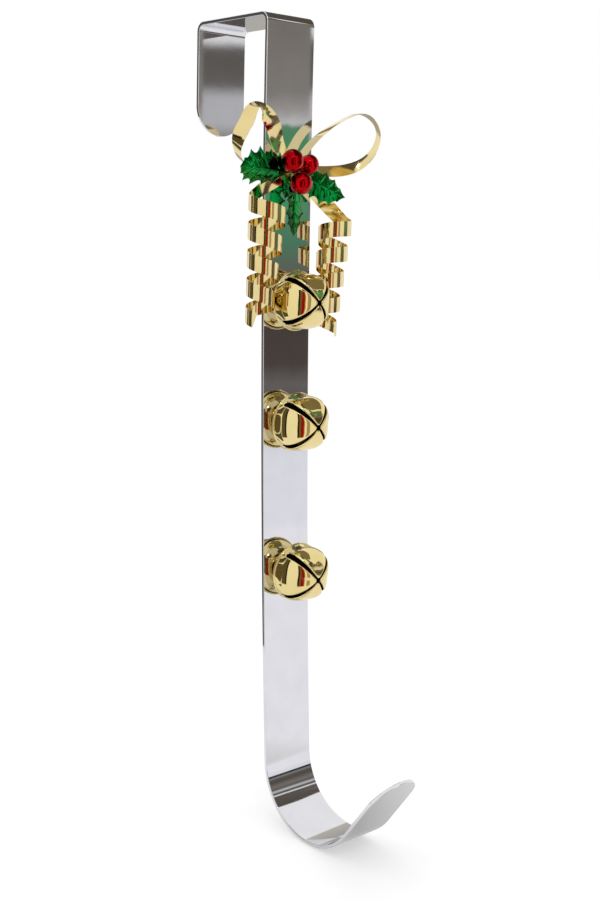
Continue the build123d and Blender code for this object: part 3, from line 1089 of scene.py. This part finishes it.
# What the leg's front mirrors: a near card beside the path of its reflections
strip_zones = [
    (-205, (0.93, 0.93, 0.96)),
    (-195, (0.90, 0.90, 0.94)),
    (-181, (0.62, 0.61, 0.62)),
    (-172, (0.10, 0.085, 0.08)),
    (-160, (0.16, 0.145, 0.135)),
    (-150, (0.085, 0.068, 0.058)),
    (-128, (0.075, 0.06, 0.05)),
    (-116, (0.20, 0.18, 0.17)),
    (-104, (0.15, 0.14, 0.12)),
    (-90, (0.09, 0.22, 0.13)),
    (-70, (0.085, 0.33, 0.16)),
    (-38, (0.075, 0.30, 0.13)),
    (-31, (0.11, 0.27, 0.15)),
    (-29.5, (0.62, 0.62, 0.60)),
    (-24, (0.42, 0.40, 0.38)),
    (-15, (0.27, 0.25, 0.225)),
    (16, (0.22, 0.20, 0.175)),
    (40, (0.25, 0.23, 0.20)),
    (48, (0.05, 0.04, 0.035)),
    (200, (0.16, 0.14, 0.12)),
]
leg_azimuth = math.radians(-50.5)
leg_card_distance = 0.15
leg_card_sides = (-0.034, -0.0025)
leg_card_height = 0.2
away = Vector((math.cos(leg_azimuth), math.sin(leg_azimuth), 0))
aside = Vector((-math.sin(leg_azimuth), math.cos(leg_azimuth), 0))
left, right = [away * leg_card_distance + aside * side for side in leg_card_sides]
card(
    "card_leg",
    [
        (left.x, left.y, -leg_card_height),
        (right.x, right.y, -leg_card_height),
        (right.x, right.y, leg_card_height),
        (left.x, left.y, leg_card_height),
    ],
    strip_zones,
    2.5,
    160.0,
)
# What the flange and the hook mirror
card(
    "card_room",
    upright(-66, -36, 0.8, ground, 0.42),
    [
        (-344, (0.92, 0.92, 0.96)),
        (-276, (0.90, 0.90, 0.94)),
        (-268, (0.02, 0.02, 0.02)),
        (-245, (0.03, 0.03, 0.03)),
        (-225, (0.30, 0.29, 0.28)),
        (-200, (0.13, 0.115, 0.10)),
        (-150, (0.10, 0.085, 0.075)),
        (-60, (0.22, 0.20, 0.18)),
        (0, (0.13, 0.115, 0.10)),
        (22, (0.55, 0.55, 0.56)),
        (50, (0.55, 0.55, 0.56)),
        (62, (0.15, 0.14, 0.125)),
        (100, (0.11, 0.10, 0.09)),
        (106, (0.9, 0.9, 0.9)),
        (125, (0.9, 0.9, 0.9)),
        (135, (0.12, 0.10, 0.085)),
        (420, (0.10, 0.085, 0.07)),
    ],
    1.0,
    12.0,
)
# What the bells and the ribbon mirror
card("card_red", upright(-124, -114, near_ring, ground, 0.0), [(0, (0.30, 0.009, 0.007))])
card("card_orange", upright(-114, -111, near_ring, ground, 0.0), [(0, (0.55, 0.20, 0.03))])
card("card_black", upright(-137, -131, near_ring, ground, 0.03), [(0, (0.012, 0.01, 0.008))])
card("card_brown", upright(-131, -124, near_ring, ground, 0.03), [(0, (0.16, 0.12, 0.06))])
card("card_shadow", upright(166, 174, near_ring, ground, 0.10), [(0, (0.012, 0.01, 0.008))])
card("card_olive_side", upright(-104, -92, near_ring, ground, 0.0), [(0, (0.42, 0.36, 0.24))])
card(
    "card_dusk",
    upright(140, 166, near_ring, ground, 0.14),
    [(-344, (0.12, 0.095, 0.05)), (140, (0.10, 0.085, 0.05))],
)
card("card_side", upright(120, 140, 0.22, ground, 0.09), [(0, (0.09, 0.085, 0.08))])
card(
    "card_back",
    upright(22, 76, 0.9, -0.30, 0.16),
    [(-300, (0.40, 0.40, 0.40)), (160, (0.60, 0.56, 0.47))],
)
card("card_umbra", upright(-122, -96, 0.45, 0.05, 0.2), [(0, (0.10, 0.085, 0.06))])
card(
    "card_canopy",
    [(0.05, -0.25, 0.25), (0.36, -0.25, 0.25), (0.36, 0.30, 0.25), (0.05, 0.30, 0.25)],
    [(0, (0.10, 0.085, 0.07))],
)
card(
    "card_olive",
    [(0.07, -0.17, 0.05), (0.26, -0.17, 0.05), (0.26, 0.14, 0.05), (0.07, 0.14, 0.05)],
    [(0, (0.22, 0.19, 0.12))],
)


light_target = (0, -0.03, -0.15)


def area_light(name, place, size, power):
    """A soft lamp that points at the middle of the object. The power is in watts."""
    data = bpy.data.lights.new(name, "AREA")
    data.shape = "RECTANGLE"
    data.size, data.size_y = size
    data.energy = power
    obj = bpy.data.objects.new(name, data)
    bpy.context.scene.collection.objects.link(obj)
    obj.location = place
    obj.rotation_euler = (Vector(light_target) - Vector(place)).to_track_quat("-Z", "Y").to_euler()


area_light("key", (-0.5, -0.9, 0.9), (0.13, 0.13), 0.7)
area_light("fill", (0.9, -0.7, 0.4), (0.11, 0.11), 0.4)
area_light("top", (0.1, 0.3, 1.1), (0.14, 0.14), 0.6)

camera_data = bpy.data.cameras.new("camera")
sensor_width = 36
focal_pixels = 1246.118
picture_height = 900
camera_data.sensor_width = sensor_width
camera_data.lens = focal_pixels * sensor_width / picture_height
camera_data.clip_start = 0.01
camera = bpy.data.objects.new("camera", camera_data)
bpy.context.scene.collection.objects.link(camera)
eye = (-0.3451514, -0.4278019, -0.0849889)
right = Vector((0.75310709, -0.65735628, 0.02669135))
up = Vector((0.09467154, 0.14843132, 0.98438074))
look = Vector((0.6510507, 0.7388172, -0.17401762))
camera.matrix_world = Matrix(
    (
        (right.x, up.x, -look.x, eye[0]),
        (right.y, up.y, -look.y, eye[1]),
        (right.z, up.z, -look.z, eye[2]),
        (0, 0, 0, 1),
    )
)
bpy.context.scene.camera = camera
bpy.context.scene.view_settings.view_transform = "Standard"
